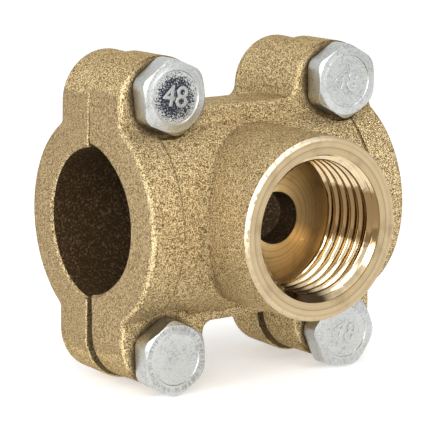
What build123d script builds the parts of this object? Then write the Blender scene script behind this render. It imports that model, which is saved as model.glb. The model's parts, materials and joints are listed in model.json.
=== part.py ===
"""Tapping saddle: two brass castings bolted round a pipe, with a threaded branch socket."""
import os
from math import cos, radians, sin, sqrt, tan
from build123d import *

# The pipe runs along X, the branch points along -Y and Z is up. The origin is on the pipe's
# axis, half way along the saddle. Lengths are millimetres and angles are degrees.

# Pipe and the seat that each casting bears on it with
pipe_radius = 10.0
bearing_ease = 0.15
bearing_angle = 57.0
flat_arc_ease = 1.0
front_seat_clearance = 0.08
back_seat_clearance = 0.48
seat_edge_chamfer = 0.35

# Shell of both castings
saddle_length = 44.5
shell_thickness = 5.85
barrel_relief = 0.3
band_width = 5.2
relief_fade_angle = 62.0
front_top_rise = 0.1
front_bottom_drop = 0.55
back_flange_drop = 0.75

# Bolt lugs
front_lug_depth = 8.0
back_lug_depth = 7.3
lug_radius = 7.1
lug_crown = 5.05
bolt_stand_off = 2.8

# Casting radii
lug_root_radius = 1.6
crease_radius = 0.8
edge_radius = 0.8
parting_edge_radius = 0.3
boss_root_radius = 0.8
boss_root_depth = 2.0

# Where the castings part, as the loose saddle lies: the joint is shut at the top and open below
front_parting = 0.15
back_gap = 0.80
back_tilt = 1.9
back_sag = 0.5
back_roll = 0.25

# Branch boss and its socket
boss_wall = 2.57
boss_reach = 25.1
rim_bevel = 0.3
thread_major_radius = 10.48
socket_mouth_radius = 10.85
undercut_depth = 0.42
undercut_width = 2.45
socket_floor = 2.05
cone_height = 1.95
branch_hole_radius = 3.8

# Saddle seal round the branch hole, in its groove
seal_land = 1.1
seal_width = 2.2
seal_thickness = 1.6
seal_side_gap = 0.12
seal_floor_gap = 0.03
seal_pipe_gap = 0.06

# Hexagon bolts
bolt_radius = 3.0
bolt_length = 20.0
bolt_end_chamfer = 0.8
head_across_flats = 10.0
head_corner_radius = 0.5
head_height = 3.3
head_chamfer_angle = 30.0
head_face_radius = 4.7
clearance_hole_gap = 0.7
tapped_hole_gap = 0.2
spot_face_gap = 0.15
head_turn = {"upper_left": 36.0, "upper_right": 30.0, "lower_left": 32.0, "lower_right": 54.0}

bearing_radius = pipe_radius + bearing_ease
flat_arc_radius = pipe_radius + flat_arc_ease
shell_radius = pipe_radius + shell_thickness
front_flange_top = shell_radius + front_top_rise
front_flange_bottom = shell_radius - front_bottom_drop
back_flange_height = shell_radius - back_flange_drop
boss_radius = thread_major_radius + boss_wall
undercut_radius = thread_major_radius + undercut_depth
undercut_end = pipe_radius + socket_floor
thread_end = undercut_end + undercut_width
seal_inner_radius = branch_hole_radius + seal_land
seal_outer_radius = seal_inner_radius + seal_width
back_parting = front_parting + back_gap
bolt_x = saddle_length / 2 - lug_radius
bolt_height = shell_radius + bolt_stand_off
lug_top = bolt_height + lug_crown
bolt_places = {
    "upper_left": (-bolt_x, bolt_height),
    "upper_right": (bolt_x, bolt_height),
    "lower_left": (-bolt_x, -bolt_height),
    "lower_right": (bolt_x, -bolt_height),
}
lug_front = front_parting - front_lug_depth
sharp_corner = head_across_flats / 2 / cos(radians(30))
head_corner_reach = sharp_corner - head_corner_radius * (1 / cos(radians(30)) - 1)
far = 2 * saddle_length
from_base = (Align.CENTER, Align.CENTER, Align.MIN)
from_top = (Align.CENTER, Align.CENTER, Align.MAX)


def along_x(solid, y=0.0):
    """Turns a solid made about Z to lie along X, at the given Y."""
    return Pos(0, y, 0) * Rot(0, 90, 0) * solid


def along_y(solid, x=0.0, y=0.0, z=0.0):
    """Turns a solid made about Z, growing upward, to grow along -Y from the given point."""
    return Pos(x, y, z) * Rot(90, 0, 0) * solid


def front_of(y):
    """All space with a smaller Y than the one given."""
    return Pos(0, y - far / 2, 0) * Box(2 * far, far, 2 * far)


def bolting_plate(depth, top, bottom):
    """The long flanges with a pair of lugs at each end, as one thick plate in front of y = 0."""
    outline = Pos(0, (top - bottom) / 2) * Rectangle(saddle_length, top + bottom)
    for side in (-1, 1):
        outline += Pos(side * bolt_x, 0) * SlotOverall(2 * lug_top, 2 * lug_radius, rotation=90)
    plate = extrude(Plane.XZ * outline, depth)
    inner_side = bolt_x - lug_radius
    roots = [
        edge
        for edge in plate.edges().filter_by(Axis.Y)
        if abs(abs(edge.center().X) - inner_side) < 0.01
        and min(abs(edge.center().Z - top), abs(edge.center().Z + bottom)) < 0.01
    ]
    return fillet(roots, lug_root_radius)


def cast_blank(axis_y, depth, top, bottom):
    """One casting before boring, parting at y = 0 and growing to -Y, the pipe's axis at axis_y."""
    shell = along_x(Cylinder(shell_radius, saddle_length), axis_y) & front_of(0)
    shell &= Pos(0, 0, (top - bottom) / 2) * Box(saddle_length, far, top + bottom)
    blank = bolting_plate(depth, top, bottom) + shell

    # hollow crease where the flange's front runs into the round shell
    creases = []
    for edge in blank.edges().filter_by(Axis.X):
        middle = edge.center()
        inside = -bottom + edge_radius / 2 < middle.Z < top - edge_radius / 2
        if inside and abs(middle.Y + depth) < 0.01:
            creases.append(edge)
    blank = fillet(creases, crease_radius)

    # one unbroken outer edge runs round the ends, the lugs and the flanges
    rim = []
    for edge in blank.edges():
        box = edge.bounding_box()
        middle = edge.center()
        on_front = box.size.Y < 0.01 and abs(middle.Y + depth) < 0.01
        on_end = box.size.X < 0.01 and abs(abs(middle.X) - saddle_length / 2) < 0.01
        beside_crease = edge.length > saddle_length / 2 and (
            -bottom + edge_radius / 2 < middle.Z < top - edge_radius / 2
        )
        if on_front and not beside_crease:
            rim.append(edge)
        if on_end and box.max.Y < -0.01 and box.min.Y < -depth:
            rim.append(edge)
    blank = fillet(rim, edge_radius)

    parting_edges = []
    for edge in blank.edges():
        box = edge.bounding_box()
        if box.size.Y < 0.001 and abs(box.max.Y) < 0.001:
            parting_edges.append(edge)
    return fillet(parting_edges, parting_edge_radius)


def barrel_cutter(axis_y, depth):
    """Takes the barrel between the end bands down a little, fading out toward the flanges."""
    fade = cos(radians(relief_fade_angle))
    offset = barrel_relief / (1 - fade)
    inner = shell_radius + offset * fade
    length = saddle_length - 2 * band_width
    ring = Cylinder(inner + shell_thickness, length) - Cylinder(inner, length)
    return along_x(ring, axis_y + offset) & front_of(-depth - crease_radius)


def round_cut(radius, arc_y):
    """A round cut through the whole saddle, flared at both ends."""
    cutter = along_x(Cylinder(radius, far), arc_y)
    flare = Cone(radius, radius + 2 * seat_edge_chamfer, 2 * seat_edge_chamfer)
    for side in (-1, 1):
        place = Pos(side * saddle_length / 2, arc_y, 0) * Rot(0, side * 90, 0)
        cutter += place * flare
    return cutter


def front_seat(axis_y):
    """An arc that bears on the pipe round the crown, then a flatter one that runs to the joint."""
    bearing_y = axis_y + bearing_radius - pipe_radius - front_seat_clearance
    meeting_y = bearing_y - bearing_radius * cos(radians(bearing_angle))
    meeting_z = bearing_radius * sin(radians(bearing_angle))
    flat_y = meeting_y + sqrt(flat_arc_radius**2 - meeting_z**2)
    return round_cut(bearing_radius, bearing_y) + round_cut(flat_arc_radius, flat_y)


def back_seat(axis_y):
    """One arc flatter than the pipe, that comes nearest to it at the crown."""
    return round_cut(flat_arc_radius, axis_y + flat_arc_radius - pipe_radius - back_seat_clearance)


def casting(axis_y, depth, flanges, seat, hole_radius):
    """A casting bored for its pipe and its four bolts, without the branch."""
    body = cast_blank(axis_y, depth, *flanges) - barrel_cutter(axis_y, depth) - seat
    for x, z in bolt_places.values():
        body -= along_y(Cylinder(hole_radius, far), x, 0, z)
    return body


def socket_cutter():
    """The turned inside of the branch: mouth, thread bore, undercut, coned bottom and hole."""
    mouth_depth = socket_mouth_radius - thread_major_radius
    profile = Polyline(
        (0, -boss_reach - mouth_depth),
        (socket_mouth_radius + mouth_depth, -boss_reach - mouth_depth),
        (socket_mouth_radius, -boss_reach),
        (thread_major_radius, -boss_reach + mouth_depth),
        (thread_major_radius, -thread_end),
        (undercut_radius, -thread_end + undercut_depth),
        (undercut_radius, -undercut_end),
        (branch_hole_radius, -undercut_end - cone_height),
        (branch_hole_radius, 0),
        (0, 0),
        close=True,
    )
    return revolve(make_face(profile), Axis.Y)


def seal_band(inner, outer, floor_radius, face_radius):
    """A ring round the branch hole, bent to the pipe: it lies between two radii of the pipe."""
    ring = along_y(Cylinder(outer, far) - Cylinder(inner, far))
    bent = along_x(Cylinder(floor_radius, far) - Cylinder(face_radius, far))
    return ring & bent & front_of(0)


def outlet_half():
    """The front casting, with the branch boss, its socket and the groove for the seal."""
    axis_y = -front_parting
    hole_radius = bolt_radius + clearance_hole_gap
    flanges = (front_flange_top, front_flange_bottom)
    seat = front_seat(axis_y)
    body = casting(axis_y, front_lug_depth, flanges, seat, hole_radius)
    root_y = axis_y - sqrt(shell_radius**2 - boss_radius**2) + boss_root_depth
    boss = Cylinder(boss_radius, boss_reach - front_parting + root_y, align=from_base)
    boss = along_y(chamfer(boss.faces().sort_by(Axis.Z)[-1].edges(), rim_bevel), 0, root_y, 0)
    body += boss - seat

    # the hollow root of the boss, all round where it leaves the barrel
    roots = []
    for edge in body.edges():
        box = edge.bounding_box()
        point = edge.position_at(0.37)
        on_boss = abs(sqrt(point.X**2 + point.Z**2) - boss_radius) < 0.05
        if on_boss and box.size.Y > 0.5 and edge.geom_type != GeomType.LINE:
            roots.append(edge)
    body = fillet(roots, boss_root_radius)

    body = Pos(0, front_parting, 0) * body
    body -= socket_cutter()
    body -= seal_band(seal_inner_radius, seal_outer_radius, pipe_radius + seal_thickness, pipe_radius / 2)

    # the cast-in seats round the bolt heads, where these stand in the foot of the barrel
    seat_radius = head_corner_reach + clearance_hole_gap + spot_face_gap
    for x, z in bolt_places.values():
        body -= along_y(Cylinder(seat_radius, boss_reach, align=from_base), x, lug_front, z)
    return body


def hang(solid):
    """Puts what the back half carries where it lies: rolled a little and low on the loose bolts."""
    return Pos(0, 0, -back_sag) * Rot(0, back_roll, 0) * solid


def back_half():
    """The back casting, tapped for the bolts, as it lies loose on them."""
    hole_radius = bolt_radius + tapped_hole_gap
    flanges = (back_flange_height, back_flange_height)
    body = casting(back_parting, back_lug_depth, flanges, back_seat(back_parting), hole_radius)
    body = Pos(0, back_parting, 0) * Rot(0, 0, 180) * body
    pivot = Pos(0, back_parting + back_lug_depth / 2, 0)
    return hang(pivot * Rot(back_tilt, 0, 0) * pivot.inverse() * body)


def seal_ring():
    """The rubber saddle seal, at the height it has on the pipe."""
    return seal_band(
        seal_inner_radius + seal_side_gap,
        seal_outer_radius - seal_side_gap,
        pipe_radius + seal_thickness - seal_floor_gap,
        pipe_radius + seal_pipe_gap,
    )


def bolt(name):
    """A hexagon bolt with its head on the front lug."""
    x, z = bolt_places[name]
    hexagon = RegularPolygon(head_across_flats / 2, 6, major_radius=False, rotation=head_turn[name])
    head = extrude(hexagon, head_height)
    head = fillet(head.edges().filter_by(Axis.Z), head_corner_radius)

    # a cone takes the corners off the outer end of the head and leaves a round face
    slope = tan(radians(head_chamfer_angle))
    cone_height = (head_height + head_face_radius * slope) / slope
    cone = Cone(cone_height, 0, cone_height * slope, align=from_base)
    head &= cone

    shank = Cylinder(bolt_radius, bolt_length, align=from_top)
    shank = chamfer(shank.faces().sort_by(Axis.Z)[0].edges(), bolt_end_chamfer)
    return hang(along_y(head + shank, x, lug_front, z))


pieces = {
    "outlet_half": outlet_half(),
    "back_half": back_half(),
    "seal_ring": seal_ring(),
}
for name in bolt_places:
    pieces["bolt_" + name] = bolt(name)

os.makedirs("parts", exist_ok=True)
for name, piece in pieces.items():
    export_step(piece, f"parts/{name}.step")
    print(name, "volume", round(piece.volume, 1))
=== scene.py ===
import json
from math import atan2, cos, pi, radians, sin, tan
import bmesh
import bpy
from mathutils import Matrix, Vector


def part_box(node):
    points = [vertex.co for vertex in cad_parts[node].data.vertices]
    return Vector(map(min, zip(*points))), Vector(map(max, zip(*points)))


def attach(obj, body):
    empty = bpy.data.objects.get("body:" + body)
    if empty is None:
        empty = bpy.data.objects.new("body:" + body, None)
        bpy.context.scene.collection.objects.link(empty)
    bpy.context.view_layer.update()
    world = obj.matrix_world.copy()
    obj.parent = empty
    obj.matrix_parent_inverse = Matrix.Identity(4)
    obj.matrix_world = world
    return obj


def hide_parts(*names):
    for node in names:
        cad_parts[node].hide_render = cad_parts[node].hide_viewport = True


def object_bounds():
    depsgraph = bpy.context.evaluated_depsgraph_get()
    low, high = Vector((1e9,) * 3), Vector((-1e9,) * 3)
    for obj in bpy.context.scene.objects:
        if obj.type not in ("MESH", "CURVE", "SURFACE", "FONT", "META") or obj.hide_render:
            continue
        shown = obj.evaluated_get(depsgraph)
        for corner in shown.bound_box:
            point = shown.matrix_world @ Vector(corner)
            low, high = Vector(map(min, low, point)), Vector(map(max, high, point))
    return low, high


# A tapping saddle: two sand-cast brass halves, four zinc-plated bolts and a rubber seal.
# Lengths are metres, written as millimetres times mm. X is the pipe, -Y the branch, Z up.
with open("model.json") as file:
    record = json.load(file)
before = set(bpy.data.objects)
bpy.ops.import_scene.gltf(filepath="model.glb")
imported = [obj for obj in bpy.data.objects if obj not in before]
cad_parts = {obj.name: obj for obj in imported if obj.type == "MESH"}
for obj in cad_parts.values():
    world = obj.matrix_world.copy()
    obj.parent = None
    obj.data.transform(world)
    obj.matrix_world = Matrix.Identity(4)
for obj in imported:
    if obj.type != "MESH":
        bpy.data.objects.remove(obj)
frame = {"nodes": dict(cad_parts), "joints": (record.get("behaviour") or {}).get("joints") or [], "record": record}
cad_low, cad_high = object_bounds()
mm = 0.001

# The camera, as the photograph was taken
camera_azimuth = -35.326
camera_elevation = 10.596
camera_roll = -0.181
camera_distance = 381.84 * mm
camera_lens = 217.6
camera_sensor = 36.0
camera_clip = 10 * mm
camera_target = Vector((-1.585, -1.756, -1.481)) * mm

# The stage
floor_reach = 4.0
floor_gap = 0.05 * mm
floor_glow = 0.42
floor_roughness = 0.9
ambient_strength = 0.55
# Each lamp's place, size and power in watts
lamps = {
    "front": ((0.03, -0.50, 0.23), 0.25, 0.75),
    "left_front": ((-0.30, -0.38, 0.22), 0.22, 1.0),
    "side": ((-0.50, -0.14, 0.14), 0.25, 1.2),
    "top": ((-0.05, -0.12, 0.60), 0.30, 0.7),
}

# How meshes are cleaned and shaded
crisp_angle = radians(28)
thread_crisp_angle = radians(40)
screw_crisp_angle = radians(24)
merge_gap = 0.002 * mm
weld_gap = 0.001 * mm
cut_slack = 0.0001 * mm
level_slack = 0.01 * mm
broad_face_weight = 80

# Castings: which of their faces are rounded edges
end_slack = 0.4 * mm
end_rounding = 1.0 * mm
least_face_gap = 0.05 * mm
edge_curvature = 0.55 / mm
sharpest_round = radians(60)
round_start = 0.87
round_spread = 0.1
boss_root_start = -9.0 * mm
boss_root_reach = 16.0 * mm

# Castings: where they are stepped, joined and bored
flat_end_facing = 0.95
band_inner_edge = 17.05 * mm
step_inner_radius = 15.0 * mm
step_outer_radius = 16.3 * mm
step_from_joint = 9.3 * mm
joint_facing = 0.97
joint_reach = 2.0 * mm
joint_inner_radius = 10.0 * mm
seat_reach = 12.05 * mm
seat_facing = -0.8

# The turned socket
rim_depth = 0.55 * mm
mouth_radius = 10.85 * mm
socket_reach = 10.95 * mm
socket_floor = -10.0 * mm
undercut_start = 10.6 * mm
water_way = 4.0 * mm

# The branch thread, a lining turned inside the socket
mounts = {mount["name"]: mount for mount in frame["record"]["mounts"]}
branch_wall = mounts["branch_thread"]["dims"]["r_mm"] * mm
branch_pitch = 1.8143 * mm
branch_crest = 9.55 * mm
branch_root = branch_wall - 0.02 * mm
branch_mouth = cad_low.y
branch_length = 11.4 * mm
branch_lead = 1.3
branch_steps = 120
branch_run_out = radians(35)
lining_radius = branch_wall + 0.12 * mm

# The form of both threads, in shares of their pitch
thread_points = 18
thread_softness = 0.035
crest_half_width = 0.15
flank_width = 0.30
spare_turns = 3

# Bolts
bolt_across = 15.15 * mm
bolt_height = 18.65 * mm
bolt_middle = -0.5 * mm
head_sides = 6
head_across_flats = 10.0 * mm
head_corner_reach = 5.5 * mm
head_corner_round = 1.7 * mm
head_corner_segments = 5
head_flat_cuts = 19
head_foot = 0.30 * mm
foot_shade_height = 0.27 * mm
head_chamfer = radians(30)
head_shoulder_drop = 0.10 * mm
head_face_radius = 4.9 * mm
head_rim_foot = 0.16 * mm
head_rim_drop = 0.07 * mm
head_disc_radius = 4.0 * mm
face_ring_width = 0.16 * mm
face_ring_slope = 0.10 * mm
face_ring_step = 0.13 * mm
face_centre_radius = 1.4 * mm
mark_height = 4.2 * mm
mark_relief = 0.13 * mm
mark_sink = 0.01 * mm
mark_rounding = 2
bolt_major = 2.96 * mm
bolt_minor = 2.42 * mm
bolt_pitch = 1.0 * mm
bolt_lead = 1.2
bolt_steps = 40
bolt_tip_chamfer = 0.8 * mm
head_overlap = 0.2 * mm

# Each head's share of bare specks, its share of border ticks, its mark and the mark's turn
heads = {
    "bolt_upper_left": (1.0, 0.0, "48", radians(-10)),
    "bolt_upper_right": (0.05, 0.0, "48", radians(-14)),
    "bolt_lower_right": (0.08, 0.2, "48", radians(-24)),
    "bolt_lower_left": (0.06, 0.5, None, 0.0),
}

# In what follows a pair is the two values between which an effect fades in, or what it fades
# from and to. A noise is its scale per metre, its detail and its roughness. A bump is the
# strength of a surface's bumps, and a depth is how deep they are.

# Sand grain: the noises' scales are shares of the fineness
sand_main_noise = (1.0, 1.0, 0.5)
sand_small_noise = (2.3, 1.5, 0.55)
sand_broad_noise = (0.33, 1.0, 0.5)
sand_speck_noise = (1.3, 0.5, 0.4)
sand_mottle_noise = (0.06, 3.0, 0.55)
sand_small_weight = 0.42
sand_broad_weight = 0.25
glint_values = (0.60, 0.72)

# Cast brass
cast_fineness = 6000.0
cast_depth = 0.22 * mm
cast_bump = 1.0
cast_roughness = 0.46
shiny_roughness = 0.30
mottle_values = (0.38, 0.62)
pit_heights = (0.80, 0.68)
# Grain peaks are painted bright as glints
peak_heights = (0.81, 0.93)
# Rounded edges: partly rubbed bright, partly a painted highlight
edge_wear_and_highlight_heights = (0.60, 0.85)
# The flat ends: smoother, pinker, and darkened as painted shade
end_smoothness = 0.45
end_tint_and_shade_share = 0.8
pit_share = 0.90
# How strongly the edge wear and painted highlight show
edge_wear_and_highlight_share = 0.7
# Painted shade along the step, in the creases, on the joint faces and round the bolt heads
step_shade_share = 0.7
step_shade_reach = (0.50 * mm, 0.20 * mm)
crease_shade_share = 0.35
joint_shade_share = 0.75
head_shade_share = 0.85
head_shade_reach = (6.3 * mm, 5.2 * mm)
head_shade_level = (-6.6 * mm, -7.2 * mm)

# The pipe seat and the water way, painted dark brown as shade
bore_fineness = 3000.0
bore_depth = 0.15 * mm
bore_bump = 0.8
bore_grain_heights = (0.86, 1.04)
bore_glint_share = 0.5
bore_metallic = 0.6
bore_roughness = 0.6
bore_specular = 0.1

# Turned brass: its rings follow a cone of this slope
turning_slope = 0.83
turning_bump = 0.6
ring_detail = 3.0
ring_roughness = 0.65
ring_values = (0.56, 0.36)
ring_share = 0.30
stain_noise = (330.0, 4.0, 0.6)
stain_values = (0.45, 0.75)
stain_share = 0.35
turned_speck_noise = (4200.0, 2.0, 0.6)
turned_speck_values = (0.62, 0.74)
turned_speck_share = 0.25

# The rim's outer bevel, with a painted highlight on its upper left side, and the line inside it
nick_noise = (1300.0, 3.0, 0.6)
nick_values = (0.38, 0.50)
bevel_reach = (12.35 * mm, 12.50 * mm)
bevel_side = (4.0 * mm, -6.0 * mm)
bevel_level = (-3.0 * mm, 1.0 * mm)
bevel_shares = (0.15, 0.9)
rim_line_radius = 11.45 * mm
rim_line_reach = (0.12 * mm, 0.04 * mm)
rim_line_share = 0.6

# Painted dark reflections in the branch thread, on one side and at its bottom
reflection_edge_noise = (500.0, 3.0, 0.6)
reflection_edge_wander = 3.0 * mm
side_reflection_floor = (-2.4 * mm, -1.6 * mm)
side_reflection_ceiling = (6.4 * mm, 5.4 * mm)
side_reflection_across = (0.0, 4.0 * mm)
low_reflection_level = (-6.2 * mm, -7.6 * mm)
low_reflection_across = (2.6 * mm, 0.6 * mm)

# Zinc plating
plating_depth = 0.06 * mm
plating_bump = 0.6
cloud_noise = (500.0, 4.0, 0.65)
cloud_values = (0.3, 0.7)
cloud_roughness = (0.26, 0.42)
plating_grain_noise = (3600.0, 3.0, 0.7)
dirt_cloud_weight = 0.5
dirt_values = (0.72, 0.98)
dirt_share = 0.6
head_face_level = (0.7 * mm, 0.6 * mm)
tick_noise = (11.0, 2.0, 0.7)
tick_values = (0.47, 0.55)
tick_inside = (4.1 * mm, 4.25 * mm)
tick_outside = (4.9 * mm, 4.7 * mm)
bare_speck_noise = (5200.0, 1.0, 0.5)
bare_values = (0.60, 0.76)
bare_reach = (4.3 * mm, 1.6 * mm)
bare_reach_weight = 0.34
bare_cover = (0.0, 0.25)
bare_level = (0.08 * mm, 0.125 * mm)
bare_least_share = 0.2

# Rubber
rubber_depth = 0.03 * mm
rubber_bump = 0.3
rubber_roughness = 0.7
bloom_noise = (900.0, 3.0, 0.6)
bloom_values = (0.45, 0.8)

# Colours, linear
brass_tan = (0.315, 0.212, 0.108, 1)
brass_olive = (0.278, 0.182, 0.074, 1)
# Dark grain pits, and painted shade at the step, in creases and round the bolt heads
brass_pit_and_shade = (0.085, 0.055, 0.025, 1)
# Painted glints on the grain, and edges rubbed bright and given a painted highlight
brass_bright = (0.86, 0.695, 0.395, 1)
# The ends' pinker tone, darkened as painted shade
brass_end = (0.268, 0.187, 0.112, 1)
# Painted shade on the joint faces between the halves
joint_shade_brown = (0.075, 0.048, 0.020, 1)
brass_grazing = (0.55, 0.47, 0.36, 1)
# The pipe seat and water way, painted dark as shade
bore_shade_brown = (0.060, 0.036, 0.017, 1)
bore_grain = (0.20, 0.125, 0.06, 1)
rim_brass = (0.50, 0.39, 0.235, 1)
# Painted highlight on the rim's bevel
rim_highlight = (0.95, 0.86, 0.66, 1)
# The cone's brass, lifted as painted light
cone_lit_brass = (0.92, 0.69, 0.33, 1)
# The undercut's brass, darkened as painted shade
undercut_shade_brass = (0.28, 0.20, 0.10, 1)
# Painted dark reflections in the thread
side_reflection_brown = (0.21, 0.135, 0.062, 1)
low_reflection_brown = (0.055, 0.036, 0.018, 1)
thread_brass = (0.70, 0.57, 0.37, 1)
turning_shadow = (0.20, 0.13, 0.06, 1)
zinc_pale = (0.52, 0.53, 0.515, 1)
zinc_dark = (0.15, 0.155, 0.17, 1)
zinc_bare = (0.035, 0.038, 0.055, 1)
foot_shadow = (0.02, 0.018, 0.015, 1)
rubber_black = (0.02, 0.02, 0.02, 1)
rubber_bloom = (0.06, 0.06, 0.06, 1)
floor_white = (0.9, 0.9, 0.9, 1)
pure_white = (1, 1, 1, 1)

# Turned surfaces: colour, fineness, depth and roughness
turned_surfaces = {
    "rim": (rim_brass, 2600.0, 0.010 * mm, 0.34),
    # The cone's colour is lifted as painted light
    "cone": (cone_lit_brass, 2400.0, 0.030 * mm, 0.50),
    # The undercut's colour is darkened as painted shade
    "undercut": (undercut_shade_brass, 2400.0, 0.020 * mm, 0.35),
    "thread": (thread_brass, 6000.0, 0.004 * mm, 0.12),
}


class Graph:
    """Adds shader nodes to one tree and joins them up."""

    def __init__(self, tree):
        self.tree = tree

    def put(self, socket, value):
        """Links a value that comes from a node, and writes one that is a constant."""
        if isinstance(value, bpy.types.NodeSocket):
            self.tree.links.new(value, socket)
        else:
            socket.default_value = value

    def node(self, kind, inputs=None, **settings):
        """Adds a node and gives its outputs."""
        made = self.tree.nodes.new("ShaderNode" + kind)
        for name, value in settings.items():
            setattr(made, name, value)
        for name, value in (inputs or {}).items():
            self.put(made.inputs[name], value)
        return made.outputs

    def place(self):
        return self.node("TexCoord")["Object"]

    def attribute(self, name):
        return self.node("Attribute", attribute_name=name)["Fac"]

    def noise(self, place, scale, detail, roughness):
        inputs = {"Vector": place, "Scale": scale, "Detail": detail, "Roughness": roughness}
        return self.node("TexNoise", inputs)["Fac"]

    def span(self, value, low, high, start=0.0, end=1.0):
        """Eases from start to end as the value goes from low to high."""
        inputs = {"Value": value, "From Min": low, "From Max": high, "To Min": start, "To Max": end}
        return self.node("MapRange", inputs, interpolation_type="SMOOTHSTEP")["Result"]

    def math(self, operation, first, second=0.0):
        return self.node("Math", {0: first, 1: second}, operation=operation)["Value"]

    def product(self, first, *others):
        for other in others:
            first = self.math("MULTIPLY", first, other)
        return first

    def total(self, first, *others):
        for other in others:
            first = self.math("ADD", first, other)
        return first

    def apart(self, place):
        return self.node("SeparateXYZ", {"Vector": place})

    def point(self, x, y=0.0, z=0.0):
        return self.node("CombineXYZ", {"X": x, "Y": y, "Z": z})["Vector"]

    def length(self, vector):
        return self.node("VectorMath", {0: vector}, operation="LENGTH")["Value"]

    def blend(self, share, first, second):
        """The first colour, with a share of the second."""
        made = self.tree.nodes.new("ShaderNodeMix")
        made.data_type = "RGBA"
        sockets = {one.identifier: one for one in made.inputs}
        for name, value in (("Factor_Float", share), ("A_Color", first), ("B_Color", second)):
            self.put(sockets[name], value)
        return next(one for one in made.outputs if one.identifier == "Result_Color")

    def bump(self, height, strength, distance):
        inputs = {"Height": height, "Strength": strength, "Distance": distance}
        return self.node("Bump", inputs)["Normal"]


def new_group(name, inputs, outputs):
    """A shader node group with named inputs and named number outputs."""
    tree = bpy.data.node_groups.new(name, "ShaderNodeTree")
    for label, kind in inputs.items():
        tree.interface.new_socket(label, in_out="INPUT", socket_type="NodeSocket" + kind)
    for label in outputs:
        tree.interface.new_socket(label, in_out="OUTPUT", socket_type="NodeSocketFloat")
    entry = tree.nodes.new("NodeGroupInput")
    leave = tree.nodes.new("NodeGroupOutput")
    return Graph(tree), entry.outputs, leave.inputs


def new_material(name):
    """A material with an empty Principled shader, and the graph that feeds it."""
    material = bpy.data.materials.new(name)
    material.use_nodes = True
    graph = Graph(material.node_tree)
    shader = next(node for node in graph.tree.nodes if node.type == "BSDF_PRINCIPLED")
    return material, graph, shader


def feed(graph, shader, colour, metallic, roughness, normal):
    """Gives the Principled shader its four main inputs."""
    graph.put(shader.inputs["Base Color"], colour)
    graph.put(shader.inputs["Metallic"], metallic)
    graph.put(shader.inputs["Roughness"], roughness)
    graph.put(shader.inputs["Normal"], normal)


def sand_grain_group():
    """The skin left by moulding sand: grain height, specks for painted glints, and slow mottling."""
    graph, given, result = new_group(
        "sand_grain", {"Vector": "Vector", "Fineness": "Float"}, ("Height", "Glint", "Mottle")
    )
    place = given["Vector"]
    fineness = given["Fineness"]

    def noise(share, detail, roughness):
        return graph.noise(place, graph.product(fineness, share), detail, roughness)

    height = graph.total(
        noise(*sand_main_noise),
        graph.product(noise(*sand_small_noise), sand_small_weight),
        graph.product(noise(*sand_broad_noise), sand_broad_weight),
    )
    graph.put(result["Height"], height)
    graph.put(result["Glint"], graph.span(noise(*sand_speck_noise), *glint_values))
    graph.put(result["Mottle"], noise(*sand_mottle_noise))
    return graph.tree


def under_heads(graph, axes):
    """The shade on the front lugs close round the four bolt heads, from 0 to 1."""
    across = graph.math("SUBTRACT", graph.math("ABSOLUTE", axes["X"]), bolt_across)
    height = graph.math("ABSOLUTE", graph.math("SUBTRACT", axes["Z"], bolt_middle))
    height = graph.math("SUBTRACT", height, bolt_height)
    radius = graph.length(graph.point(across, height))
    near = graph.span(radius, *head_shade_reach, 0.0, head_shade_share)
    return graph.product(near, graph.span(axes["Y"], *head_shade_level))


def cast_brass(grain):
    """Matt sand-cast brass: grain with painted glints, outer edges rubbed bright and given a painted highlight,
    pinker ends darkened as painted shade, and painted shade along the step, in creases, on the joint faces and
    round the bolt heads.
    """
    material, graph, shader = new_material("cast_brass")
    place = graph.place()
    axes = graph.apart(place)
    sand = graph.node("Group", {"Vector": place, "Fineness": cast_fineness}, node_tree=grain)
    height = sand["Height"]
    smooth = graph.attribute("smooth")
    coarse = graph.math("SUBTRACT", 1.0, graph.product(smooth, end_smoothness))
    colour = graph.blend(graph.span(sand["Mottle"], *mottle_values), brass_olive, brass_tan)
    # The smooth flat ends are pinker, and darker as painted shade
    colour = graph.blend(graph.product(smooth, end_tint_and_shade_share), colour, brass_end)
    pits = graph.product(graph.span(height, *pit_heights), coarse, pit_share)
    colour = graph.blend(pits, colour, brass_pit_and_shade)
    # Grain peaks and glinting specks are painted bright as glints
    peaks = graph.span(height, *peak_heights)
    shine = graph.product(graph.math("MAXIMUM", sand["Glint"], peaks), coarse)
    # Rounded edges are rubbed bright and given a painted highlight
    worn = graph.product(graph.attribute("edge"), graph.span(height, *edge_wear_and_highlight_heights), edge_wear_and_highlight_share)
    shine = graph.math("MAXIMUM", shine, worn)
    colour = graph.blend(shine, colour, brass_bright)
    # Painted shade along the foot of the band's step
    from_step = graph.math("SUBTRACT", band_inner_edge, graph.math("ABSOLUTE", axes["X"]))
    step_shade = graph.span(from_step, *step_shade_reach, 0.0, step_shade_share)
    colour = graph.blend(graph.product(step_shade, graph.attribute("step")), colour, brass_pit_and_shade)
    # Painted shade in the creases, on the joint faces and round the bolt heads
    colour = graph.blend(graph.product(graph.attribute("crease"), crease_shade_share), colour, brass_pit_and_shade)
    colour = graph.blend(graph.product(graph.attribute("joint"), joint_shade_share), colour, joint_shade_brown)
    colour = graph.blend(under_heads(graph, axes), colour, brass_pit_and_shade)
    roughness = graph.span(shine, 0.0, 1.0, cast_roughness, shiny_roughness)
    normal = graph.bump(graph.product(height, coarse), cast_bump, cast_depth)
    feed(graph, shader, colour, 1.0, roughness, normal)
    shader.inputs["Specular Tint"].default_value = brass_grazing
    return material


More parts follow.
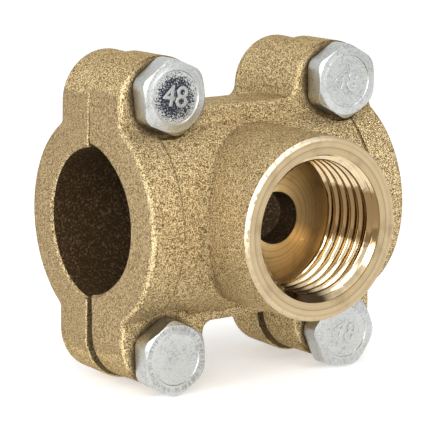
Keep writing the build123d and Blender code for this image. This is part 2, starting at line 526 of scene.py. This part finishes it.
def bore_brass(grain):
    """The rough pipe seat and water way, painted dark brown as shade, with a few bright grains and painted glints.
    """
    material, graph, shader = new_material("bore_brass")
    inputs = {"Vector": graph.place(), "Fineness": bore_fineness}
    sand = graph.node("Group", inputs, node_tree=grain)
    # Dark brown as painted shade of the seat and water way
    colour = graph.blend(graph.span(sand["Height"], *bore_grain_heights), bore_shade_brown, bore_grain)
    # A few grains painted bright as glints
    colour = graph.blend(graph.product(sand["Glint"], bore_glint_share), colour, bore_grain)
    normal = graph.bump(sand["Height"], bore_bump, bore_depth)
    feed(graph, shader, colour, bore_metallic, bore_roughness, normal)
    shader.inputs["Specular IOR Level"].default_value = bore_specular
    return material


def turning_marks_group():
    """Lathe marks about the branch: ring height, shade in the rings and stains, and radius."""
    graph, given, result = new_group(
        "turning_marks", {"Vector": "Vector", "Fineness": "Float"}, ("Rings", "Shade", "Radius")
    )
    place = given["Vector"]
    axes = graph.apart(place)
    radius = graph.length(graph.point(axes["X"], 0.0, axes["Z"]))
    along = graph.total(radius, graph.product(axes["Y"], turning_slope))
    rings = graph.noise(graph.point(along), given["Fineness"], ring_detail, ring_roughness)
    stains = graph.noise(place, *stain_noise)
    specks = graph.noise(place, *turned_speck_noise)
    shade = graph.total(
        graph.span(stains, *stain_values, 0.0, stain_share),
        graph.span(rings, *ring_values, 0.0, ring_share),
        graph.span(specks, *turned_speck_values, 0.0, turned_speck_share),
    )
    graph.put(result["Rings"], rings)
    graph.put(result["Shade"], shade)
    graph.put(result["Radius"], radius)
    return graph.tree


def turned_brass(surface, marks, extra=None):
    """Brass turned about the branch; extra adds what only one of the surfaces has."""
    base, fineness, depth, roughness = turned_surfaces[surface]
    material, graph, shader = new_material("turned_" + surface)
    place = graph.place()
    turned = graph.node("Group", {"Vector": place, "Fineness": fineness}, node_tree=marks)
    colour = graph.blend(turned["Shade"], base, turning_shadow)
    if extra:
        colour = extra(graph, place, turned["Radius"], colour)
    feed(graph, shader, colour, 1.0, roughness, graph.bump(turned["Rings"], turning_bump, depth))
    return material


def bevel_highlight(graph, place, radius, colour):
    """The rim's outer bevel, given a painted highlight on its upper left and broken by nicks, and the thin line
    inside it.
    """
    axes = graph.apart(place)
    nicks = graph.span(graph.noise(place, *nick_noise), *nick_values)
    # A painted highlight on the bevel's upper left side
    outer = graph.product(
        graph.span(radius, *bevel_reach),
        graph.span(axes["X"], *bevel_side),
        graph.span(axes["Z"], *bevel_level, *bevel_shares),
    )
    colour = graph.blend(outer, colour, graph.blend(nicks, rim_brass, rim_highlight))
    from_line = graph.math("ABSOLUTE", graph.math("SUBTRACT", radius, rim_line_radius))
    line = graph.span(from_line, *rim_line_reach, 0.0, rim_line_share)
    return graph.blend(line, colour, turning_shadow)


def dark_thread_reflections(graph, place, radius, colour):
    """Painted dark reflections on one side of the thread and at its bottom."""
    axes = graph.apart(place)
    wander = graph.product(graph.noise(place, *reflection_edge_noise), reflection_edge_wander)
    height = graph.total(axes["Z"], wander)
    # A painted dark reflection on one side of the thread
    side_reflection = graph.product(
        graph.span(height, *side_reflection_floor),
        graph.span(height, *side_reflection_ceiling),
        graph.span(axes["X"], *side_reflection_across),
    )
    # A painted dark reflection at the thread's bottom
    low_reflection = graph.product(graph.span(height, *low_reflection_level), graph.span(axes["X"], *low_reflection_across))
    return graph.blend(low_reflection, graph.blend(side_reflection, colour, side_reflection_brown), low_reflection_brown)


def plating_wear_group():
    """Wear on a plated head: dirt, border ticks, bare specks, and the plating's own grain."""
    names = ("Dirt", "Ticks", "Bare", "Cloud", "Grain")
    graph, given, result = new_group(
        "plating_wear", {"Vector": "Vector", "From Head": "Vector"}, names
    )
    place = given["Vector"]
    axes = graph.apart(given["From Head"])
    radius = graph.length(graph.point(axes["X"], 0.0, axes["Z"]))
    cloud = graph.noise(place, *cloud_noise)
    grain = graph.noise(place, *plating_grain_noise)
    specks = graph.noise(place, *bare_speck_noise)
    dirt = graph.total(graph.product(cloud, dirt_cloud_weight), grain)
    dirt = graph.span(dirt, *dirt_values, 0.0, dirt_share)
    on_face = graph.span(axes["Y"], *head_face_level)
    around = graph.point(graph.math("ARCTAN2", axes["Z"], axes["X"]))
    ticks = graph.product(
        graph.span(radius, *tick_inside),
        graph.span(radius, *tick_outside),
        on_face,
        graph.span(graph.noise(around, *tick_noise), *tick_values),
    )
    near = graph.span(radius, *bare_reach)
    bare = graph.total(graph.product(near, bare_reach_weight), specks)
    bare = graph.product(
        graph.span(bare, *bare_values),
        graph.span(near, *bare_cover),
        on_face,
        graph.span(axes["Y"], *bare_level, bare_least_share, 1.0),
    )
    for label, value in zip(names, (dirt, ticks, bare, cloud, grain)):
        graph.put(result[label], value)
    return graph.tree


def zinc_plate(name, wear, head, bare_share, tick_share):
    """Pale zinc plating, mottled and scuffed, speckled dark about the head's centre."""
    material, graph, shader = new_material(name)
    place = graph.place()
    from_head = graph.node("Mapping", {"Vector": place, "Location": tuple(-head)})["Vector"]
    worn = graph.node("Group", {"Vector": place, "From Head": from_head}, node_tree=wear)
    colour = graph.blend(worn["Dirt"], zinc_pale, zinc_dark)
    colour = graph.blend(graph.product(worn["Ticks"], tick_share), colour, zinc_dark)
    colour = graph.blend(graph.product(worn["Bare"], bare_share), colour, zinc_bare)
    colour = graph.blend(graph.attribute("foot"), colour, foot_shadow)
    roughness = graph.span(worn["Cloud"], *cloud_values, *cloud_roughness)
    normal = graph.bump(worn["Grain"], plating_bump, plating_depth)
    feed(graph, shader, colour, 1.0, roughness, normal)
    return material


def seal_rubber():
    """Matt black rubber with a faint bloom."""
    material, graph, shader = new_material("seal_rubber")
    bloom = graph.noise(graph.place(), *bloom_noise)
    colour = graph.blend(graph.span(bloom, *bloom_values), rubber_black, rubber_bloom)
    normal = graph.bump(bloom, rubber_bump, rubber_depth)
    feed(graph, shader, colour, 0.0, rubber_roughness, normal)
    return material


def add_piece(name, mesh, body, materials):
    """Links a finished mesh at the origin, riding on its body."""
    piece = bpy.data.objects.new(name, mesh)
    bpy.context.scene.collection.objects.link(piece)
    for material in materials:
        mesh.materials.append(material)
    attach(piece, body)
    return piece


def finish_mesh(bm, name, angle=crisp_angle):
    """Turns a bmesh into a mesh, smooth but for its crisp edges."""
    for face in bm.faces:
        face.smooth = True
    for edge in bm.edges:
        edge.smooth = len(edge.link_faces) == 2 and edge.calc_face_angle() < angle
    mesh = bpy.data.meshes.new(name)
    bm.to_mesh(mesh)
    bm.free()
    return mesh


def steady_normals(piece):
    """Lets broad faces set the shading, so that narrow rounds don't darken them."""
    modifier = piece.modifiers.new("steady_normals", "WEIGHTED_NORMAL")
    modifier.mode = "FACE_AREA_WITH_ANGLE"
    modifier.keep_sharp = True
    modifier.weight = broad_face_weight


def merged_copy(node):
    """A solid's own skin as one closed shell."""
    bm = bmesh.new()
    bm.from_mesh(frame["nodes"][node].data)
    bmesh.ops.remove_doubles(bm, verts=bm.verts, dist=merge_gap)
    return bm


def rounding_share(normal, at_end):
    """How near a face is to the middle of the rounded edge that it lies on, from 0 to 1."""
    along, others = normal.y, (normal.x, normal.z)
    if at_end:
        along, others = normal.x, (normal.y, normal.z)
    steepest = max(abs(along), Vector(others).length)
    return min(max((round_start - steepest) / round_spread, 0.0), 1.0)


def edge_wear_and_highlight(face):
    """How brightly a convex rounded edge is rubbed and given a painted highlight at one of its faces."""
    middle = face.calc_center_median()
    from_branch = Vector((middle.x, middle.z)).length
    if middle.y < boss_root_start and from_branch < boss_root_reach:
        return 0.0
    at_end = abs(middle.x) > cad_high.x - end_slack - end_rounding
    return rounding_share(face.normal, at_end)


def mark_rounds(bm):
    """Writes which faces are on rounded edges, worn and given a painted highlight, and which are in creases, given
    painted shade.
    """
    worn = bm.faces.layers.float["edge"]
    crease = bm.faces.layers.float["crease"]
    for edge in bm.edges:
        if len(edge.link_faces) != 2:
            continue
        first, second = edge.link_faces
        gap = (first.calc_center_median() - second.calc_center_median()).length
        bend = edge.calc_face_angle()
        if bend > sharpest_round or bend < edge_curvature * max(gap, least_face_gap):
            continue
        for face in (first, second):
            # Convex rounds get wear and a painted highlight, concave ones painted shade
            if edge.is_convex:
                face[worn] = edge_wear_and_highlight(face)
            else:
                face[crease] = 1.0


def mark_faces(bm):
    """Writes, for its material, where the casting's edges are worn and given a painted highlight, where its ends
    are smooth and darkened as painted shade, and where its step, creases and joint faces get painted shade.
    """
    for name in ("edge", "smooth", "step", "crease", "joint"):
        bm.faces.layers.float.new(name)
    mark_rounds(bm)
    smooth = bm.faces.layers.float["smooth"]
    step = bm.faces.layers.float["step"]
    joint = bm.faces.layers.float["joint"]
    for face in bm.faces:
        middle = face.calc_center_median()
        from_pipe = Vector((middle.y, middle.z)).length
        if abs(face.normal.x) > flat_end_facing and abs(middle.x) > cad_high.x - end_slack:
            face[smooth] = 1.0
        # The step's faces, for the painted shade line at its foot
        on_step = step_inner_radius < from_pipe < step_outer_radius
        if on_step and abs(middle.x) < band_inner_edge and abs(middle.y) > step_from_joint:
            face[step] = 1.0
        # Joint faces, painted dark as shade
        on_joint = abs(face.normal.y) > joint_facing and abs(middle.y) < joint_reach
        if on_joint and from_pipe > joint_inner_radius:
            face[joint] = 1.0


def is_seat(face):
    """Whether a face belongs to the hollow that the pipe lies in."""
    middle = face.calc_center_median()
    radial = Vector((middle.y, middle.z))
    across = Vector((face.normal.y, face.normal.z))
    return radial.length < seat_reach and across.dot(radial) < seat_facing * radial.length


def shell_surface(face):
    """Which surface of a half shell a face belongs to."""
    return "bore" if is_seat(face) else "cast"


def outlet_surface(face):
    """Which surface of the outlet casting a face belongs to, its turned ones included."""
    middle = face.calc_center_median()
    from_branch = Vector((middle.x, middle.z)).length
    if middle.y < branch_mouth + rim_depth:
        return "rim"
    if from_branch < socket_reach and middle.y < socket_floor:
        if from_branch > undercut_start:
            return "undercut"
        return "bore" if from_branch < water_way else "cone"
    return shell_surface(face)


def build_casting(name, node, materials, surface):
    """A casting from its solid's skin, each face with the material of its surface."""
    bm = merged_copy(node)
    mark_faces(bm)
    numbers = {label: number for number, label in enumerate(materials)}
    for face in bm.faces:
        face.material_index = numbers[surface(face)]
    piece = add_piece(name, finish_mesh(bm, name), node, materials.values())
    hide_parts(node)
    steady_normals(piece)


def build_castings(grain, marks):
    """Both castings, which share the surfaces that aren't turned."""
    shell = {"cast": cast_brass(grain), "bore": bore_brass(grain)}
    turned = {
        "rim": turned_brass("rim", marks, bevel_highlight),
        "cone": turned_brass("cone", marks),
        "undercut": turned_brass("undercut", marks),
    }
    build_casting("outlet_casting", "outlet_half", {**shell, **turned}, outlet_surface)
    build_casting("back_casting", "back_half", shell, shell_surface)


def build_seal(rubber):
    """The seal in the outlet half's groove, as its solid has it."""
    mesh = finish_mesh(merged_copy("seal_ring"), "saddle_seal")
    piece = add_piece("saddle_seal", mesh, "outlet_half", [rubber])
    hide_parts("seal_ring")


def thread_depth(share):
    """How far from root to crest a thread stands, at a share of its pitch."""
    depths = []
    for shift in (-thread_softness, 0.0, thread_softness):
        from_crest = abs((share + shift) % 1.0 - 0.5)
        depths.append(1.0 - min(max((from_crest - crest_half_width) / flank_width, 0.0), 1.0))
    return sum(depths) / len(depths)


def thread_ribbon(root, crest, pitch, turns, steps):
    """A screw surface about Z, from z = 0 up, with rounded roots and crests."""
    bm = bmesh.new()
    last = None
    profile = []
    for number in range(thread_points + 1):
        share = number / thread_points
        radius = root + (crest - root) * thread_depth(share)
        vertex = bm.verts.new((radius, 0, pitch * share))
        if last:
            profile.append(bm.edges.new((last, vertex)))
        profile.append(vertex)
        last = vertex
    bmesh.ops.spin(
        bm,
        geom=profile,
        cent=(0, 0, 0),
        axis=(0, 0, 1),
        dvec=(0, 0, pitch / steps),
        angle=2 * pi,
        steps=steps,
        use_merge=False,
    )
    turn = list(bm.verts) + list(bm.edges) + list(bm.faces)
    for number in range(1, turns):
        copied = bmesh.ops.duplicate(bm, geom=turn)["geom"]
        moved = [element for element in copied if isinstance(element, bmesh.types.BMVert)]
        bmesh.ops.translate(bm, verts=moved, vec=(0, 0, pitch * number))
    bmesh.ops.remove_doubles(bm, verts=bm.verts, dist=weld_gap)
    return bm


def cut_ends(bm, low, high):
    """Cuts a screw surface square at both ends."""
    for height, normal in ((low, (0, 0, -1)), (high, (0, 0, 1))):
        geometry = list(bm.verts) + list(bm.edges) + list(bm.faces)
        bmesh.ops.bisect_plane(
            bm,
            geom=geometry,
            dist=cut_slack,
            plane_co=(0, 0, height),
            plane_no=normal,
            clear_outer=True,
        )


def rim_edges(bm, height):
    """The boundary loop at one end of a screw surface."""
    return [
        edge
        for edge in bm.edges
        if edge.is_boundary
        and all(abs(vertex.co.z - height) < level_slack for vertex in edge.verts)
    ]


def from_axis(vertex):
    """How far a vertex stands from Z."""
    return Vector((vertex.co.x, vertex.co.y)).length


def on_circle(vertex, radius, height):
    """Moves a vertex straight out or in to a circle about Z."""
    around = atan2(vertex.co.y, vertex.co.x)
    vertex.co = Vector((radius * cos(around), radius * sin(around), height))


def turn_about(bm, angle, axis):
    """Turns everything about an axis through the origin."""
    bmesh.ops.rotate(bm, verts=bm.verts, cent=(0, 0, 0), matrix=Matrix.Rotation(angle, 3, axis))


def extruded(bm, edges):
    """Extrudes a loop of edges, and gives the new points and the new outer loop."""
    made = bmesh.ops.extrude_edge_only(bm, edges=edges)["geom"]
    points = [one for one in made if isinstance(one, bmesh.types.BMVert)]
    loop = [one for one in made if isinstance(one, bmesh.types.BMEdge) and one.is_boundary]
    return points, loop


def build_branch_thread(turned):
    """The half inch pipe thread, as a closed lining of the socket's wall."""
    turns = int(branch_length / branch_pitch) + spare_turns
    bm = thread_ribbon(branch_root, branch_crest, branch_pitch, turns, branch_steps)
    bmesh.ops.translate(bm, verts=bm.verts, vec=(0, 0, -branch_lead * branch_pitch))
    start = mouth_radius - branch_root
    cut_ends(bm, start, branch_length)
    for vertex in bm.verts:
        at_mouth = mouth_radius - vertex.co.z
        at_end = branch_root - (branch_length - vertex.co.z) / tan(branch_run_out)
        least = min(max(at_mouth, at_end), branch_root)
        if from_axis(vertex) < least:
            on_circle(vertex, least, vertex.co.z)
    outer = []
    for height in (start, branch_length):
        points, loop = extruded(bm, rim_edges(bm, height))
        for vertex in points:
            on_circle(vertex, lining_radius, height)
        outer += loop
    bmesh.ops.bridge_loops(bm, edges=outer)
    bmesh.ops.recalc_face_normals(bm, faces=bm.faces)
    turn_about(bm, -pi / 2, "X")
    bmesh.ops.translate(bm, verts=bm.verts, vec=(0, branch_mouth, 0))
    mesh = finish_mesh(bm, "branch_thread", thread_crisp_angle)
    add_piece("branch_thread", mesh, "outlet_half", [turned])


def head_angle(node, centre):
    """How far a bolt's head is turned, from the corners of its solid in front of the lug."""
    total_cos = total_sin = 0.0
    for vertex in frame["nodes"][node].data.vertices:
        x = vertex.co.x - centre.x
        z = vertex.co.z - centre.z
        if vertex.co.y < centre.y and Vector((x, z)).length > head_corner_reach:
            around = atan2(z, x)
            total_cos += cos(head_sides * around)
            total_sin += sin(head_sides * around)
    return atan2(total_sin, total_cos) / head_sides


def head_outline(bm, turn):
    """A hexagon with rounded corners on z = 0, finely divided."""
    half_side = pi / head_sides
    corner = head_across_flats / 2 / cos(half_side)
    made = bmesh.ops.create_circle(bm, segments=head_sides, radius=corner, cap_ends=False)
    turn_about(bm, turn - half_side, "Z")
    bmesh.ops.bevel(
        bm,
        geom=made["verts"],
        affect="VERTICES",
        offset=head_corner_round * tan(half_side),
        segments=head_corner_segments,
        profile=0.5,
        material=-1,
    )
    flats = [edge for edge in bm.edges if edge.calc_length() > head_across_flats / 4]
    bmesh.ops.subdivide_edges(bm, edges=flats, cuts=head_flat_cuts)
    return list(bm.edges)


def bolt_head(turn, height):
    """A hexagon head standing on z = 0, its corners taken off by a cone, with a raised rim."""
    bm = bmesh.new()
    ring = head_outline(bm, turn)
    bmesh.ops.contextual_create(bm, geom=ring)
    for vertex in bm.verts:
        on_circle(vertex, from_axis(vertex) - head_foot, 0.0)
    points, ring = extruded(bm, ring)
    for vertex in points:
        on_circle(vertex, from_axis(vertex) + head_foot, head_foot)
    shoulder = height - head_shoulder_drop
    points, ring = extruded(bm, ring)
    for vertex in points:
        past_face = max(0.0, from_axis(vertex) - head_face_radius)
        on_circle(vertex, from_axis(vertex), shoulder - past_face * tan(head_chamfer))
    inner = head_disc_radius - face_ring_width
    for radius, level in (
        (head_face_radius, shoulder),
        (head_disc_radius + head_rim_foot, height - head_rim_drop),
        (head_disc_radius, height),
        (inner, height),
        (inner - face_ring_slope, height - face_ring_step),
        (face_centre_radius, height - face_ring_step),
    ):
        points, ring = extruded(bm, ring)
        for vertex in points:
            on_circle(vertex, min(radius, from_axis(vertex)), level)
    bmesh.ops.contextual_create(bm, geom=ring)
    foot = bm.faces.layers.float.new("foot")
    for face in bm.faces:
        face[foot] = 1.0 if face.calc_center_median().z < foot_shade_height else 0.0
    return bm


def bolt_shank(length):
    """A fully threaded shank, from just inside the head at z = 0 down to a chamfered tip."""
    turns = int(length / bolt_pitch) + spare_turns
    bm = thread_ribbon(bolt_minor, bolt_major, bolt_pitch, turns, bolt_steps)
    bmesh.ops.translate(bm, verts=bm.verts, vec=(0, 0, -length - bolt_lead * bolt_pitch))
    cut_ends(bm, -length, head_overlap)
    for vertex in bm.verts:
        most = bolt_major - bolt_tip_chamfer + (vertex.co.z + length)
        if from_axis(vertex) > most:
            on_circle(vertex, most, vertex.co.z)
    for height in (-length, head_overlap):
        bmesh.ops.contextual_create(bm, geom=rim_edges(bm, height))
    return bm


def add_to(bm, other):
    """Puts another bmesh's faces into this one."""
    mesh = bpy.data.meshes.new("part")
    other.to_mesh(mesh)
    other.free()
    bm.from_mesh(mesh)
    bpy.data.meshes.remove(mesh)


def class_mark(text, turn, level):
    """A raised strength mark standing on a head, about the bolt's axis."""
    curve = bpy.data.curves.new("class_mark", "FONT")
    curve.body = text
    curve.size = mark_height
    curve.align_x = "CENTER"
    curve.align_y = "CENTER"
    curve.extrude = mark_relief * 0.5
    curve.bevel_depth = mark_relief * 0.5
    curve.bevel_resolution = mark_rounding
    carrier = bpy.data.objects.new("class_mark", curve)
    mesh = bpy.data.meshes.new_from_object(carrier)
    bpy.data.objects.remove(carrier)
    bm = bmesh.new()
    bm.from_mesh(mesh)
    bpy.data.meshes.remove(mesh)
    bmesh.ops.remove_doubles(bm, verts=bm.verts, dist=weld_gap)
    turn_about(bm, turn, "Z")
    bmesh.ops.translate(bm, verts=bm.verts, vec=(0, 0, level))
    return bm


def build_bolt(joint, wear, bare_share, tick_share, mark, mark_turn):
    """One zinc-plated bolt, head and thread, in place of its plain solid."""
    node = joint["child"]
    name = node.replace("bolt", "screw")
    place = Vector(joint["pos_m"])
    low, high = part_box(node)
    height = place.y - low.y
    bm = bolt_head(head_angle(node, place), height)
    add_to(bm, bolt_shank(high.y - place.y))
    if mark:
        add_to(bm, class_mark(mark, mark_turn, height - mark_relief - mark_sink))
    bmesh.ops.recalc_face_normals(bm, faces=bm.faces)
    turn_about(bm, pi / 2, "X")
    bmesh.ops.translate(bm, verts=bm.verts, vec=place)
    head = Vector((place.x, low.y, place.z))
    zinc = zinc_plate(name + "_zinc", wear, head, bare_share, tick_share)
    mesh = finish_mesh(bm, name, screw_crisp_angle)
    piece = add_piece(name, mesh, node, [zinc])
    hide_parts(node)


def build_bolts():
    """The four bolts, each at its joint."""
    wear = plating_wear_group()
    for joint in frame["joints"]:
        if joint["child"] in heads:
            build_bolt(joint, wear, *heads[joint["child"]])


def build_camera():
    """The camera at the photograph's place, looking along its own -Z."""
    azimuth = radians(camera_azimuth)
    elevation = radians(camera_elevation)
    level = cos(elevation)
    back = Vector((sin(azimuth) * level, -cos(azimuth) * level, sin(elevation)))
    data = bpy.data.cameras.new("camera")
    data.lens = camera_lens
    data.sensor_width = camera_sensor
    data.clip_start = camera_clip
    camera = bpy.data.objects.new("camera", data)
    bpy.context.scene.collection.objects.link(camera)
    turn = back.to_track_quat("Z", "Y").to_matrix().to_4x4()
    roll = Matrix.Rotation(radians(camera_roll), 4, "Z")
    place = Matrix.Translation(camera_target + back * camera_distance)
    camera.matrix_world = place @ turn @ roll
    bpy.context.scene.camera = camera


def add_lamp(name, place, size, power):
    """A soft square lamp that faces the saddle."""
    data = bpy.data.lights.new(name, "AREA")
    data.shape = "SQUARE"
    data.size = size
    data.energy = power
    lamp = bpy.data.objects.new(name, data)
    bpy.context.scene.collection.objects.link(lamp)
    lamp.location = place
    lamp.rotation_euler = Vector(place).to_track_quat("Z", "Y").to_euler()


def background_rays(graph):
    """The rays that see white: the camera's, and those off metal or through glass."""
    rays = graph.node("LightPath")
    seen = graph.math("MAXIMUM", rays["Is Camera Ray"], rays["Is Transmission Ray"])
    return graph.math("MAXIMUM", seen, rays["Is Glossy Ray"])


def build_floor():
    """A plain white floor, which glows for the rays that see the background."""
    bm = bmesh.new()
    bmesh.ops.create_grid(bm, x_segments=1, y_segments=1, size=floor_reach)
    bmesh.ops.translate(bm, verts=bm.verts, vec=(0, 0, cad_low.z - floor_gap))
    mesh = bpy.data.meshes.new("floor")
    bm.to_mesh(mesh)
    bm.free()
    floor = bpy.data.objects.new("floor", mesh)
    bpy.context.scene.collection.objects.link(floor)
    material, graph, shader = new_material("floor_white")
    shader.inputs["Base Color"].default_value = floor_white
    shader.inputs["Roughness"].default_value = floor_roughness
    shader.inputs["Specular IOR Level"].default_value = 0.0
    shader.inputs["Emission Color"].default_value = pure_white
    glow = graph.product(background_rays(graph), floor_glow)
    graph.put(shader.inputs["Emission Strength"], glow)
    mesh.materials.append(material)


def build_world():
    """A white background for the rays that see it, and a dimmer white for all others."""
    world = bpy.data.worlds.new("studio")
    bpy.context.scene.world = world
    world.use_nodes = True
    graph = Graph(world.node_tree)
    graph.tree.nodes.clear()
    ambient = graph.node("Background", {"Color": pure_white, "Strength": ambient_strength})
    white = graph.node("Background", {"Color": pure_white, "Strength": 1.0})
    mixed = graph.node("MixShader", {0: background_rays(graph), 1: ambient[0], 2: white[0]})
    graph.node("OutputWorld", {"Surface": mixed[0]})


build_camera()
turning_marks = turning_marks_group()
build_castings(sand_grain_group(), turning_marks)
build_seal(seal_rubber())
build_branch_thread(turned_brass("thread", turning_marks, dark_thread_reflections))
build_bolts()
build_floor()
build_world()
for name, (place, size, power) in lamps.items():
    add_lamp(name, place, size, power)
bpy.context.scene.view_settings.view_transform = "Standard"
